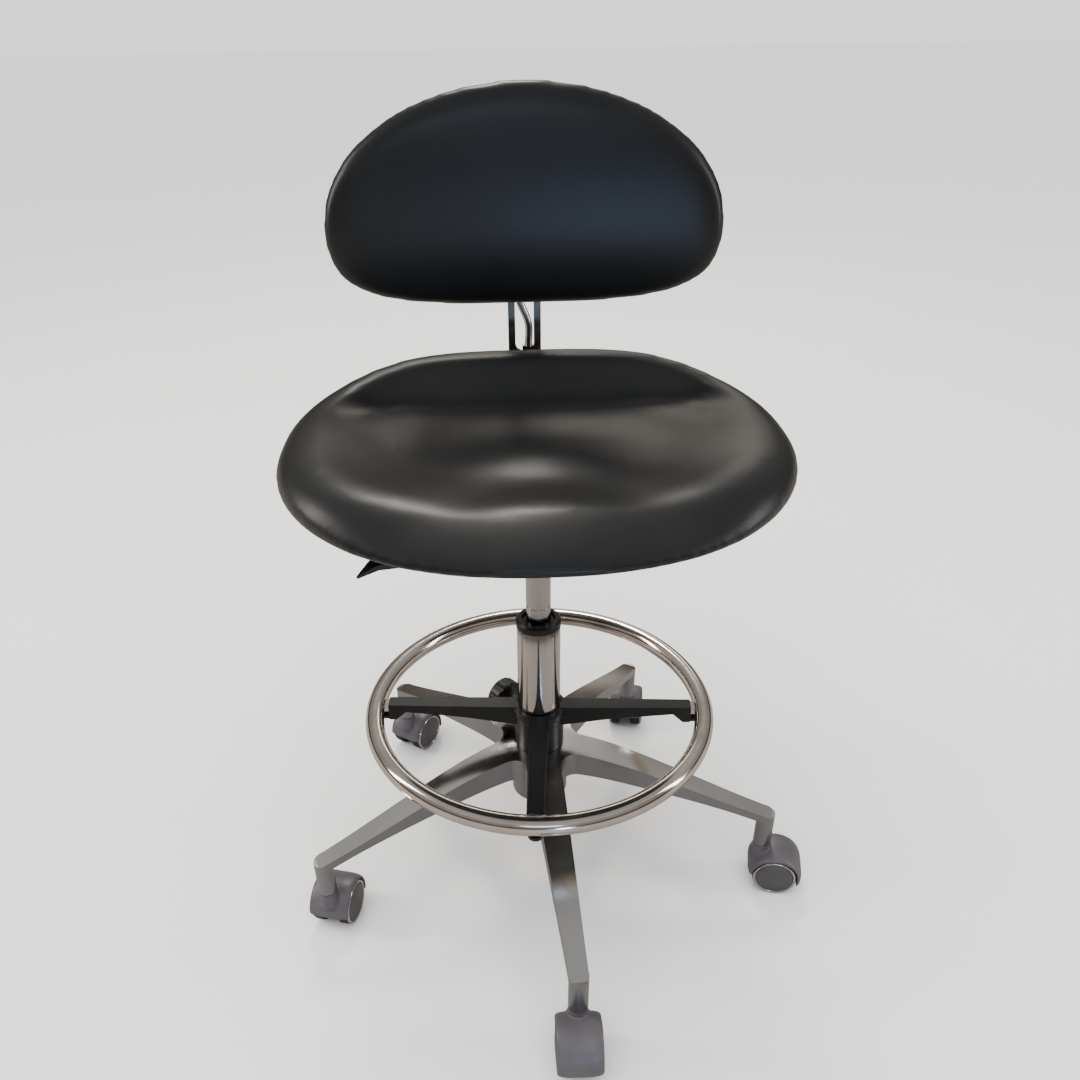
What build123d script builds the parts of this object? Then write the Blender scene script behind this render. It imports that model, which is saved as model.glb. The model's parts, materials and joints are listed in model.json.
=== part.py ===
# Dentist stool: contoured round seat, kidney backrest, gas lift, foot ring and five-arm castor base.
# Millimetres. Origin on the floor under the column, +Z up, the sitter faces -Y.
import os
from math import cos, pi, radians, sin

from build123d import *

# Running fits and gaps
run_gap = 0.05
part_gap = 0.3

# Castors
wheel_r = 27.5
wheel_inner = 8.6
wheel_outer = 24.2
axle_r = 3.0
axle_half = 19.0
trail = 20.0
hood_r = 33.0
hood_cavity_r = 30.3
hood_half = 25.4
web_half = 7.8
neck_r = 11.0
neck_top = 66.5
stem_r = 5.5
stem_low = 36.0
stem_high = 108.0
castor_turns = [-1.0, 77.0, 172.0, 147.0, 165.0]

# Five-arm base
arm_count = 5
base_turn = 4.9
castor_circle_r = 284.0
socket_r = 11.0
socket_low = 68.0
socket_bore_top = 110.0
arm_half_hub = 20.5
arm_half_tip = 10.6
hub_core_r = 25.0
hub_boss_r = 34.0
hub_low = 122.0
web_fillet = 20.0
cast_wall = 4.0
cast_roof = 5.0

# Column and gas lift
tube_r = 25.0
tube_inner_r = 23.0
tube_low = 112.0
tube_high = 366.0
collar_r = 25.6
collar_high = 375.0
sleeve_low = 262.0
cylinder_r = 14.0
cylinder_inner_r = 12.5
cylinder_low = 228.0
cylinder_high = 512.0
rod_r = 5.0
piston_low = 322.0
piston_high = 334.0
groove_z = 393.0

# Foot ring
ring_turn = -4.4
ring_r = 196.1
ring_z = 247.0
ring_tube_r = 11.0
ring_wall = 1.8
ring_hub_r = 29.5
ring_lip_r = 32.5
ring_hub_low = 195.6
ring_hub_high = 251.0
bush_r = 26.9
spoke_count = 4
spoke_top = 252.0
spoke_half_hub = 11.5
spoke_half_end = 9.8
spoke_end = 181.0
tongue_half = 8.0
ring_knob_turn = ring_turn - 135.0
ring_knob_z = 227.0
ring_knob_near = 53.5
ring_knob_far = 70.5
ring_knob_r = 22.5
stud_r = 4.0

# Seat mechanism
plate_low = 533.0
plate_high = 537.0
plate_half_x = 75.0
plate_front = -95.0
plate_back = 100.0
channel_half = 32.0
channel_low = 495.0
channel_reach = 46.0
sheet = 3.0
boss_r = 19.0
boss_low = 490.0
boss_high = 517.5
lever_turn = 219.0
lever_pivot = 30.0
lever_z = 524.0
lever_rod_z = 520.0

# Seat
seat_half_x = 266.0
seat_mid_y = 12.0
seat_front = 235.0
seat_back = 222.0
seat_low = 549.0
seat_high = 615.0
seat_floor = 579.0
seat_wall_y = 128.0
seat_dish_r = 1500.0
seat_front_power = 2.13
seat_back_power = 2.65
board_scale = 0.8

# Back support
arm_bar_half = 20.0
arm_bar = 8.0
arm_front_y = 273.0
arm_top = 812.0
window_half = 11.5
window_low = 590.0
window_high = 790.0
back_z = 745.0
back_pin_y = 257.0
back_pin_r = 4.0
lug_r = 7.5
slider_front = 267.5
slider_back = 287.5
slider_half_x = 27.0
slider_half_z = 25.0
back_knob_r = 20.0

# Backrest
rest_half_x = 223.0
rest_mid = 752.0
rest_up = 142.0
rest_down = 90.0
rest_low_power = 3.2
rest_front_y = 195.0
rest_thick = 42.0
rest_wrap_r = 1600.0
rest_board = 7.0

outline_steps = 14


def ring(outer, inner, low, high):
    """An upright tube on the column's axis."""
    height = high - low
    tube = Pos(0, 0, low + height / 2) * Cylinder(outer, height)
    return tube - Pos(0, 0, low + height / 2) * Cylinder(inner, height + 2)


def rod(radius, low, high):
    """An upright round bar on the column's axis."""
    return Pos(0, 0, (low + high) / 2) * Cylinder(radius, high - low)


def bar_x(radius, start, end):
    """A round bar along X."""
    return Pos((start + end) / 2, 0, 0) * Rot(0, 90, 0) * Cylinder(radius, end - start)


def block(low, high):
    """A box between two opposite corners."""
    size = [b - a for a, b in zip(low, high)]
    centre = [(a + b) / 2 for a, b in zip(low, high)]
    return Pos(*centre) * Box(*size)


def lathe(points):
    """A solid turned about Z from (radius, height) points."""
    face = make_face(Polyline([(r, 0, z) for r, z in points], close=True))
    return revolve(face, Axis.Z)


def oval(half_x, up, down, up_power, down_power):
    """A closed egg-like outline: one super-ellipse above the widest line, another below it."""
    points = []
    for step in range(4 * outline_steps):
        angle = 2 * pi * step / (4 * outline_steps)
        c = cos(angle)
        s = sin(angle)
        power = up_power if s >= 0 else down_power
        reach = up if s >= 0 else down
        x = half_x * abs(c) ** (2 / power)
        y = reach * abs(s) ** (2 / power)
        points.append((x if c >= 0 else -x, y if s >= 0 else -y))
    return make_face(Spline(points, periodic=True))


def fluted_knob(radius, length, flutes):
    """A grip disc along +Z from the origin, with scalloped edge."""
    knob = Pos(0, 0, length / 2) * Cylinder(radius, length)
    knob = chamfer(knob.edges().filter_by(GeomType.CIRCLE), 1.5)
    for step in range(flutes):
        place = Rot(0, 0, 360 * step / flutes) * Pos(radius + 1.6, 0, length / 2)
        knob -= place * Cylinder(3.4, length + 2)
    return knob


# ---- five-arm base ----

def arm_tip(index, radius=castor_circle_r):
    angle = radians(base_turn + 360 * index / arm_count)
    return radius * sin(angle), -radius * cos(angle)


def arm_turn(index):
    return Rot(0, 0, base_turn + 360 * index / arm_count - 90)


def arm_plan(shrink):
    hub_half = arm_half_hub - shrink
    tip_half = arm_half_tip - shrink
    arm = make_face(Polyline(
        [(0, -hub_half), (castor_circle_r, -tip_half), (castor_circle_r, tip_half), (0, hub_half)],
        close=True))
    tip = Pos(castor_circle_r, 0) * Circle(socket_r - shrink)
    plan = Circle(hub_core_r)
    for index in range(arm_count):
        plan += arm_turn(index) * arm
        plan += arm_turn(index) * tip
    corners = [v for v in plan.vertices() if Vector(v.X, v.Y).length < 2 * hub_core_r]
    return fillet(corners, web_fillet)


def arm_envelope(drop, depth):
    """The turned band between the arms' sloping tops and their undersides."""
    top = Spline([(0, 0, 195.2 - drop), (34, 0, 194.8 - drop), (80, 0, 188 - drop), (140, 0, 170 - drop),
                  (200, 0, 148 - drop), (300, 0, 113.5 - drop)])
    low = Spline([(300, 0, 100 - depth), (262, 0, 114 - depth), (140, 0, 146 - depth), (80, 0, 158 - depth),
                  (0, 0, 160 - depth)])
    face = make_face([top, Line(top @ 1, low @ 0), low, Line(low @ 1, top @ 0)])
    return revolve(face, Axis.Z)


def make_base_star():
    star = extrude(Pos(0, 0, 60) * arm_plan(0), 160) & arm_envelope(0, 0)
    pocket = extrude(Pos(0, 0, 60) * arm_plan(cast_wall), 160) & arm_envelope(cast_roof, 30)
    pocket -= rod(hub_boss_r + 2, 50, 250)
    for index in range(arm_count):
        x, y = arm_tip(index)
        pocket -= Pos(x, y, 0) * rod(socket_r + 3, 50, 250)
    star -= pocket
    star += rod(hub_boss_r, hub_low, 172)
    for index in range(arm_count):
        x, y = arm_tip(index)
        star += Pos(x, y, 0) * rod(socket_r, socket_low, 116)
        star -= Pos(x, y, 0) * rod(stem_r + run_gap, socket_low - 1, socket_bore_top)
    star -= rod(tube_r + 0.02, hub_low - 10, 210)
    return star


def make_column_tube():
    tube = ring(tube_r, tube_inner_r, tube_low, tube_high)
    return tube + ring(tube_r, rod_r + run_gap, tube_low, tube_low + 4)


def make_column_collar():
    inner = cylinder_r + run_gap
    return lathe([(inner, tube_high), (collar_r, tube_high), (collar_r, collar_high - 2),
                  (collar_r - 2, collar_high), (inner + 5, collar_high), (inner + 4, collar_high - 2.5),
                  (inner, collar_high - 2.5)])


def make_guide_sleeve():
    return ring(tube_inner_r - 0.02, cylinder_r + run_gap, sleeve_low, tube_high)


# ---- castors ----

def castor_place(index):
    x, y = arm_tip(index)
    return Pos(x, y, 0) * Rot(0, 0, castor_turns[index])


def make_hood():
    axle = Pos(0, -trail, wheel_r)
    shell = axle * bar_x(hood_r, -hood_half, hood_half)
    shell = fillet(shell.edges().filter_by(GeomType.CIRCLE), 2.2)
    skirt = Pos(0, -trail, wheel_r - 34) * Rot(12, 0, 0) * Box(80, 110, 60)
    shell -= skirt
    hood = shell + rod(neck_r, 40, neck_top)
    hood += axle * bar_x(9, -web_half, web_half)
    for side in (-1, 1):
        near, far = sorted((side * web_half, side * (hood_half + 5)))
        hood -= axle * bar_x(hood_cavity_r, near, far)
    hood -= axle * bar_x(axle_r, -20, 20)
    return hood - rod(stem_r, stem_low, neck_top + 5)


def make_stem():
    flange = rod(8.6, neck_top + 0.2, socket_low - 0.3)
    pin = rod(stem_r, stem_low, stem_high)
    return chamfer(pin.edges().group_by(Axis.Z)[-1], 1.2) + flange


def make_wheel(side):
    """Twin wheel half: tread, recessed ring groove and domed cap, turned about the axle."""
    bore = axle_r + run_gap
    points = [(bore, wheel_inner), (wheel_r - 2.5, wheel_inner), (wheel_r, wheel_inner + 2.5),
              (wheel_r, wheel_outer - 2.5), (wheel_r - 2, wheel_outer - 0.7),
              (wheel_r - 3, wheel_outer - 1.6), (wheel_r - 3.2, wheel_outer),
              (wheel_r - 6.5, wheel_outer + 0.9), (wheel_r - 7, wheel_outer - 0.2),
              (0, wheel_outer + 0.4), (0, axle_half + 0.6), (bore, axle_half + 0.6)]
    turned = lathe(points)
    return Pos(0, -trail, wheel_r) * Rot(0, 90 * side, 0) * turned


# ---- gas lift ----

def make_thrust_bearing():
    return ring(13, rod_r + run_gap, tube_low + 4, tube_low + 9)


def make_piston_rod():
    spindle = rod(rod_r, tube_low - 4, piston_high)
    stop = rod(9, tube_low + 9.3, tube_low + 12)
    return spindle + stop + rod(cylinder_inner_r - run_gap, piston_low, piston_high)


def make_rod_clip():
    return ring(8.5, rod_r, tube_low - 2.2, tube_low - part_gap)


def make_gas_cylinder():
    tube = rod(cylinder_r, cylinder_low, cylinder_high)
    tube -= rod(cylinder_inner_r, cylinder_low + 8, cylinder_high - 22)
    tube -= rod(rod_r + run_gap, cylinder_low - 1, cylinder_low + 9)
    tube -= ring(cylinder_r + 1, cylinder_r - 0.5, groove_z - 0.5, groove_z + 0.5)
    tube -= rod(3.0, cylinder_high - 12, cylinder_high + 1)
    return chamfer(tube.edges().group_by(Axis.Z)[-1], 0.6)


def make_release_button():
    return rod(3.0 - run_gap, cylinder_high - 8.4, lever_z - 4.4)


# ---- seat mechanism and lever ----

seat_bolt_places = [(x, y) for x in (-58, 58) for y in (-78, 78)]
arm_bolt_places = [(-11, 64), (11, 64), (0, 90)]


def drilled(body, places, radius, low, high):
    for x, y in places:
        body -= Pos(x, y, 0) * rod(radius, low, high)
    return body


def make_seat_mechanism():
    plate = block((-plate_half_x, plate_front, plate_low), (plate_half_x, plate_back, plate_high))
    plate = fillet(plate.edges().filter_by(Axis.Z), 12)
    body = plate
    for side in (-1, 1):
        near, far = sorted((side * channel_half, side * (channel_half - sheet)))
        body += block((near, -channel_reach, channel_low), (far, channel_reach, plate_low))
        ear = block((lever_pivot - 5, side * 10 - 1.5, 516), (lever_pivot + 5, side * 10 + 1.5, plate_low))
        body += Rot(0, 0, lever_turn) * ear
    body += block((-channel_half, -channel_reach, channel_low), (channel_half, sheet - channel_reach, plate_low))
    body += block((-channel_half, -channel_reach, channel_low), (channel_half, channel_reach, channel_low + sheet))
    body += rod(boss_r, boss_low, boss_high)
    body -= Rot(0, 0, lever_turn) * block((lever_pivot + 1, -8.4, 500), (90, 8.4, plate_low))
    body -= Rot(0, 0, lever_turn) * Pos(lever_pivot, 0, lever_z) * Rot(90, 0, 0) * Cylinder(2.5, 40)
    body -= rod(cylinder_r, boss_low - 1, boss_high + 1)
    body = drilled(body, seat_bolt_places, 4, plate_low - 1, plate_high + 1)
    return drilled(body, arm_bolt_places, 3, plate_low - 1, plate_high + 1)


def make_lever_pin():
    pin = Pos(lever_pivot, 0, lever_z) * Rot(90, 0, 0) * Cylinder(2.5, 26)
    return Rot(0, 0, lever_turn) * pin


def make_lift_lever():
    arm = block((-4, -6, lever_z - 4), (46, 6, lever_z + 4))
    arm -= Pos(lever_pivot, 0, lever_z) * Rot(90, 0, 0) * Cylinder(2.5 + run_gap, 40)
    path = FilletPolyline([(44, 0, lever_z), (60, 0, lever_z), (80, 0, lever_rod_z), (176, 0, lever_rod_z)],
                          radius=14)
    arm += sweep(Plane(path @ 0, z_dir=path % 0) * Circle(4), path)
    return Rot(0, 0, lever_turn) * arm


def make_lever_paddle():
    side = Polyline([(150, 0, 526), (206, 0, 527), (224, 0, 520.5), (223.5, 0, 518), (204, 0, 522),
                     (178, 0, 516), (150, 0, 514.5)], close=True)
    blade = extrude(make_face(side), amount=14, both=True)
    plan = Polyline([(148, -7), (176, -10), (204, -7), (225, 0), (204, 7), (176, 10), (148, 7)], close=True)
    blade &= extrude(Pos(0, 0, 480) * make_face(plan), 60)
    blade -= Pos(0, 0, lever_rod_z) * bar_x(4, 140, 176)
    return Rot(0, 0, lever_turn) * blade


def hex_bolt(radius, head_r, head_low, head_high, tip):
    head = extrude(Pos(0, 0, head_low) * RegularPolygon(head_r, 6), head_high - head_low)
    return head + rod(radius, head_high, tip)


# ---- seat ----

def seat_plan(scale):
    plan = oval(seat_half_x * scale, seat_back * scale, seat_front * scale, seat_back_power, seat_front_power)
    return Pos(0, seat_mid_y) * plan


def make_seat_board():
    board = extrude(Pos(0, 0, plate_high) * seat_plan(board_scale), seat_low - plate_high)
    board = drilled(board, seat_bolt_places, 4, plate_high - 1, plate_high + 9)
    return drilled(board, arm_bolt_places, 3, plate_high - 1, plate_high + 9)


def make_seat_cushion():
    pad = extrude(Pos(0, 0, seat_low) * seat_plan(1), seat_high - seat_low)
    dish = Pos(0, seat_wall_y - 200, seat_floor + seat_dish_r) * Rot(90, 0, 0) * Cylinder(seat_dish_r, 400)
    dish = fillet([e for e in dish.edges() if e.center().Y > seat_wall_y - 1], 30)
    pad -= dish
    pad = fillet(pad.edges().group_by(Axis.Z)[0], 20)
    rim = [e for e in pad.edges().filter_by(GeomType.BSPLINE)
           if e.center().Z > seat_floor - 1 and e.length > 30 and abs(e.center().Y - seat_wall_y) > 1]
    return fillet(rim, 14)


# ---- back support ----

def make_back_arm():
    back = arm_front_y + arm_bar
    low = plate_low - arm_bar
    side = make_face(Polyline([(52, low), (back, low), (back, arm_top), (arm_front_y, arm_top),
                               (arm_front_y, plate_low), (52, plate_low)], close=True))
    side = fillet([v for v in side.vertices() if v.X > back - 1 and v.Y < low + 1], 43)
    side = fillet([v for v in side.vertices() if abs(v.X - arm_front_y) < 1 and v.Y < plate_low + 1], 35)
    arm = extrude(Plane.YZ * side, amount=arm_bar_half, both=True)
    slot_mid = (window_low + window_high) / 2
    slot_shape = SlotOverall(window_high - window_low, 2 * window_half, rotation=90)
    slot_plane = Plane((0, back + 5, slot_mid), x_dir=(1, 0, 0), z_dir=(0, -1, 0))
    arm -= extrude(slot_plane * slot_shape, 30)
    top = [e for e in arm.edges().filter_by(Axis.Y) if abs(e.center().Z - arm_top) < 1]
    arm = fillet(top, 12)
    return drilled(arm, arm_bolt_places, 3, low - 1, plate_low + 1)


def make_back_arm_stay():
    mid = arm_front_y + arm_bar / 2
    path = Spline([(4.5, mid, window_low + 7), (4.5, mid, 626), (-5.5, mid, 652), (-5.5, mid, 684)],
                  tangents=[(0, 0, 1), (0, 0, 1)])
    stay = sweep(Plane(path @ 0, z_dir=path % 0) * Circle(4.6), path)
    foot = block((-window_half, mid - 3.5, 679), (window_half, mid + 3.5, 687))
    seat = block((-3, mid - 3.5, window_low + 2), (10, mid + 3.5, window_low + 8))
    return stay + foot + (seat & make_window(window_half - 0.05))


def make_window(half):
    low = Pos(0, arm_front_y + arm_bar / 2, window_low + window_half) * Rot(90, 0, 0) * Cylinder(half, 30)
    return low + block((-half, arm_front_y - 9, window_low + window_half), (half, arm_front_y + 17, window_high))


def make_back_slider():
    body = block((-slider_half_x, slider_front, back_z - slider_half_z),
                 (slider_half_x, slider_back, back_z + slider_half_z))
    body = fillet(body.edges().filter_by(Axis.Y), 6)
    body += block((-13.5, back_pin_y, back_z - lug_r), (13.5, slider_front + 1, back_z + lug_r))
    body += Pos(0, back_pin_y, back_z) * bar_x(lug_r, -13.5, 13.5)
    body -= block((-arm_bar_half - run_gap, arm_front_y - run_gap, back_z - 40),
                  (arm_bar_half + run_gap, arm_front_y + arm_bar + run_gap, back_z + 40))
    body -= Pos(0, back_pin_y, back_z) * bar_x(back_pin_r, -20, 20)
    return body - Pos(0, slider_back, back_z) * Rot(90, 0, 0) * Cylinder(stud_r + run_gap, 30)


def make_back_pin():
    return Pos(0, back_pin_y, back_z) * bar_x(back_pin_r, -20, 20)


def make_back_knob():
    knob = Pos(0, slider_back + 3, back_z) * Rot(-90, 0, 0) * fluted_knob(back_knob_r, 16, 10)
    return knob - Pos(0, slider_back + 6, back_z) * Rot(90, 0, 0) * Cylinder(stud_r, 12)


def make_back_stud():
    start = arm_front_y + 1
    end = slider_back + 12
    return Pos(0, (start + end) / 2, back_z) * Rot(90, 0, 0) * Cylinder(stud_r, end - start)


def rest_slab(scale, near, far):
    """A slice of the backrest outline, bent round the sitter between two wrap radii."""
    plan = oval(rest_half_x * scale, rest_up * scale, rest_down * scale, 2.0, rest_low_power)
    upright = Plane((0, 0, rest_mid), x_dir=(1, 0, 0), z_dir=(0, -1, 0))
    prism = extrude(upright * plan, 400, both=True)
    centre_y = rest_front_y + rest_thick - rest_wrap_r
    shell = ring(rest_wrap_r + far, rest_wrap_r + near, 500, 1000)
    return prism & (Pos(0, centre_y, 0) * shell & block((-300, 100, 600), (300, 300, 950)))


def make_back_cushion():
    pad = rest_slab(1, -rest_thick, 0)
    long_edges = [e for e in pad.edges() if e.length > 60]
    return fillet(long_edges, 13)


back_screw_places = [(x, z) for x in (-32, 32) for z in (-28, 28)]


def back_screw_drill(body, radius):
    for x, z in back_screw_places:
        body -= Pos(x, 245, back_z + z) * Rot(90, 0, 0) * Cylinder(radius, 14)
    return body


def make_back_board():
    board = rest_slab(0.86, 0, rest_board)
    return back_screw_drill(board, 2.5)


def make_back_bracket():
    near = rest_front_y + rest_thick + rest_board
    plate = block((-45, near, back_z - 40), (45, near + 3, back_z + 40))
    plate = fillet(plate.edges().filter_by(Axis.Y), 10)
    for side in (-1, 1):
        low, high = sorted((side * 13.8, side * 18))
        plate += block((low, near + 2, back_z - lug_r), (high, back_pin_y, back_z + lug_r))
        plate += Pos(0, back_pin_y, back_z) * bar_x(lug_r, low, high)
    plate -= Pos(0, back_pin_y, back_z) * bar_x(back_pin_r + run_gap, -20, 20)
    return back_screw_drill(plate, 2.5)


def make_back_screws():
    near = rest_front_y + rest_thick + rest_board
    screws = []
    for x, z in back_screw_places:
        shank = Pos(x, near - 1, back_z + z) * Rot(90, 0, 0) * Cylinder(2.5, 10)
        head = Pos(x, near + 4.25, back_z + z) * Rot(90, 0, 0) * Cylinder(5, 2.5)
        screws.append(shank + head)
    return Compound(screws)


# ---- foot ring ----

def spoke_turn(index):
    return Rot(0, 0, ring_turn + 360 * index / spoke_count - 90)


def torus(tube):
    return Pos(0, 0, ring_z) * Torus(ring_r, tube)


def make_foot_ring():
    hoop = torus(ring_tube_r)
    for index in range(spoke_count):
        tab = block((spoke_end + part_gap, -7, ring_z - 5), (ring_r - 6, 7, ring_z + 3.5))
        hoop += spoke_turn(index) * tab
    hoop -= torus(ring_tube_r - ring_wall)
    holes = [spoke_turn(i) * Pos(ring_r, 0, 0) * rod(2.5, ring_z - 14, ring_z - 5) for i in range(spoke_count)]
    return hoop - holes


def make_spoke():
    low_end = ring_z - ring_tube_r - part_gap
    side = Polyline([(22, 0, spoke_top), (spoke_end, 0, spoke_top), (spoke_end, 0, low_end),
                     (ring_r + 10, 0, low_end), (ring_r + 10, 0, low_end - 4), (172, 0, low_end - 4),
                     (160, 0, 243.5), (90, 0, 237), (22, 0, 226)], close=True)
    spoke = extrude(make_face(side), amount=20, both=True)
    plan = make_face(Polyline([(20, -spoke_half_hub), (spoke_end, -spoke_half_end), (spoke_end, spoke_half_end),
                               (20, spoke_half_hub)], close=True))
    tongue = Pos((spoke_end + ring_r) / 2, 0) * Rectangle(ring_r - spoke_end, 2 * tongue_half)
    plan = plan + tongue + Pos(ring_r, 0) * Circle(tongue_half)
    spoke &= extrude(Pos(0, 0, 200) * plan, 80)
    top = [e for e in spoke.edges() if e.center().Z > spoke_top - 0.1 and e.length > 100]
    spoke = chamfer(top, 1.6)
    return spoke - Pos(ring_r, 0, 0) * rod(2.5, 220, 240)


def make_ring_hub():
    hub = rod(ring_hub_r, ring_hub_low, 243) + rod(ring_lip_r, 240, ring_hub_high)
    hub = fillet([e for e in hub.edges() if e.length > 2 * pi * (ring_lip_r - 1)], 2.4)
    for index in range(spoke_count):
        hub += spoke_turn(index) * make_spoke()
    knob_side = Rot(0, 0, ring_knob_turn - 90)
    hub += knob_side * Pos(0, 0, ring_knob_z) * bar_x(12, 20, 44)
    hub -= knob_side * Pos(0, 0, ring_knob_z) * bar_x(stud_r + run_gap, 20, 50)
    return hub - rod(bush_r + run_gap, ring_hub_low - 1, 260)


def make_ring_bush():
    return ring(bush_r, tube_r + run_gap, ring_hub_low + 0.2, ring_hub_high - 1)


def make_ring_screws():
    low = ring_z - ring_tube_r - part_gap - 4
    screw = rod(5.6, low - 2.6, low)
    screw = fillet(screw.edges().group_by(Axis.Z)[0], 2)
    screw += rod(2.5, low - 0.5, ring_z - 5)
    screw -= rod(1.6, low - 3, low - 1.2)
    return Compound([spoke_turn(i) * Pos(ring_r, 0, 0) * screw for i in range(spoke_count)])


def make_ring_knob():
    place = Rot(0, 0, ring_knob_turn - 90) * Pos(ring_knob_near, 0, ring_knob_z) * Rot(0, 90, 0)
    knob = place * fluted_knob(ring_knob_r, ring_knob_far - ring_knob_near, 12)
    return knob - Rot(0, 0, ring_knob_turn - 90) * Pos(0, 0, ring_knob_z) * bar_x(stud_r, 40, 64)


def make_ring_stud():
    return Rot(0, 0, ring_knob_turn - 90) * Pos(0, 0, ring_knob_z) * bar_x(stud_r, bush_r + part_gap, 64)


# ---- write one STEP per node ----

parts = {
    "base_star": make_base_star(),
    "column_tube": make_column_tube(),
    "column_collar": make_column_collar(),
    "guide_sleeve": make_guide_sleeve(),
    "thrust_bearing": make_thrust_bearing(),
    "piston_rod": make_piston_rod(),
    "rod_clip": make_rod_clip(),
    "gas_cylinder": make_gas_cylinder(),
    "release_button": make_release_button(),
    "seat_mechanism": make_seat_mechanism(),
    "lever_pin": make_lever_pin(),
    "lift_lever": make_lift_lever(),
    "lever_paddle": make_lever_paddle(),
    "seat_bolts": Compound([Pos(x, y, 0) * hex_bolt(4, 7.5, 528, plate_low, 545) for x, y in seat_bolt_places]),
    "seat_board": make_seat_board(),
    "seat_cushion": make_seat_cushion(),
    "back_arm": make_back_arm(),
    "back_arm_stay": make_back_arm_stay(),
    "back_arm_bolts": Compound([Pos(x, y, 0) * hex_bolt(3, 5.8, 521, 525, 545) for x, y in arm_bolt_places]),
    "back_slider": make_back_slider(),
    "back_pin": make_back_pin(),
    "back_knob": make_back_knob(),
    "back_stud": make_back_stud(),
    "back_bracket": make_back_bracket(),
    "back_screws": make_back_screws(),
    "back_board": make_back_board(),
    "back_cushion": make_back_cushion(),
    "ring_bush": make_ring_bush(),
    "ring_hub": make_ring_hub(),
    "foot_ring": make_foot_ring(),
    "ring_screws": make_ring_screws(),
    "ring_knob": make_ring_knob(),
    "ring_stud": make_ring_stud(),
}

castor_pieces = {
    "hood": make_hood(),
    "stem": make_stem(),
    "axle": Pos(0, -trail, wheel_r) * bar_x(axle_r, -axle_half, axle_half),
    "wheel_left": make_wheel(-1),
    "wheel_right": make_wheel(1),
}
for index in range(arm_count):
    for piece, shape in castor_pieces.items():
        parts[f"castor_{index + 1}_{piece}"] = castor_place(index) * shape

os.makedirs("parts", exist_ok=True)
for node, shape in parts.items():
    export_step(shape, f"parts/{node}.step")
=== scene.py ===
# Dentist stool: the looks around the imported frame. Metres, same frame as the CAD.
import json
import math
import bmesh
import bpy
from mathutils import Matrix, Vector


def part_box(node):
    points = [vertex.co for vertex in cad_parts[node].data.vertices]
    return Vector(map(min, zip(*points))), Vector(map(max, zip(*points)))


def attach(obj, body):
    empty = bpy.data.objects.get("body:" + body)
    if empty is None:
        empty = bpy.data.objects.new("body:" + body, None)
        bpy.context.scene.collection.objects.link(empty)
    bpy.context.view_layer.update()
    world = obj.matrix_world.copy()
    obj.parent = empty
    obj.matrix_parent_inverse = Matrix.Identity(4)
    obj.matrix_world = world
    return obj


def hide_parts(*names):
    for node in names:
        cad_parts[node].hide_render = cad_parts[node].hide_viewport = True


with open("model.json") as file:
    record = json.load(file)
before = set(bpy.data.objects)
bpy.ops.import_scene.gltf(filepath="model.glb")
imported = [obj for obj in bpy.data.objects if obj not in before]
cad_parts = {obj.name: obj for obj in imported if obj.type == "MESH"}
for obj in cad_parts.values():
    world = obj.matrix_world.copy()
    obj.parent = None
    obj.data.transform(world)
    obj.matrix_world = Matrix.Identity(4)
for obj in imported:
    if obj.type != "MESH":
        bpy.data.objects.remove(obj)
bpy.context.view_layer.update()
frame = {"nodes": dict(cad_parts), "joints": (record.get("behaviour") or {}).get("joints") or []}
joints = {joint["name"]: joint for joint in frame["joints"]}
print("stage: frame loaded,", len(frame["nodes"]), "nodes")


# helpers for meshes

def smooth(low, high, value):
    t = min(1.0, max(0.0, (value - low) / (high - low)))
    return t * t * (3 - 2 * t)


def newPiece(name, verts, faces, material):
    mesh = bpy.data.meshes.new(name)
    mesh.from_pydata([tuple(v) for v in verts], [], faces)
    piece = bpy.data.objects.new(name, mesh)
    bpy.context.scene.collection.objects.link(piece)
    mesh.materials.append(material)
    mesh.polygons.foreach_set("use_smooth", [True] * len(mesh.polygons))
    tidyNormals(mesh)
    return piece


def tidyNormals(mesh):
    shape = bmesh.new()
    shape.from_mesh(mesh)
    bmesh.ops.remove_doubles(shape, verts=shape.verts, dist=1e-6)
    bmesh.ops.recalc_face_normals(shape, faces=shape.faces)
    shape.to_mesh(mesh)
    shape.free()
    mesh.update()


def skinRings(rings):
    # closed skin over rings of equal length; a ring of one point closes an end
    verts = []
    starts = []
    for ring in rings:
        starts.append(len(verts))
        verts.extend(ring)
    faces = []
    for a, b, ringA, ringB in zip(starts, starts[1:], rings, rings[1:]):
        count = max(len(ringA), len(ringB))
        for i in range(count):
            j = (i + 1) % count
            if len(ringA) == 1:
                faces.append((a, b + i, b + j))
            elif len(ringB) == 1:
                faces.append((a + i, b, a + j))
            else:
                faces.append((a + i, b + i, b + j, a + j))
    return verts, faces


def applyModifiers(piece):
    depsgraph = bpy.context.evaluated_depsgraph_get()
    done = bpy.data.meshes.new_from_object(piece.evaluated_get(depsgraph))
    piece.modifiers.clear()
    old = piece.data
    piece.data = done
    bpy.data.meshes.remove(old)
    done.polygons.foreach_set("use_smooth", [True] * len(done.polygons))
    return piece


def subdivide(piece, levels):
    made = piece.modifiers.new("round", "SUBSURF")
    made.levels = levels
    made.render_levels = levels
    return applyModifiers(piece)


# shader helpers

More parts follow.
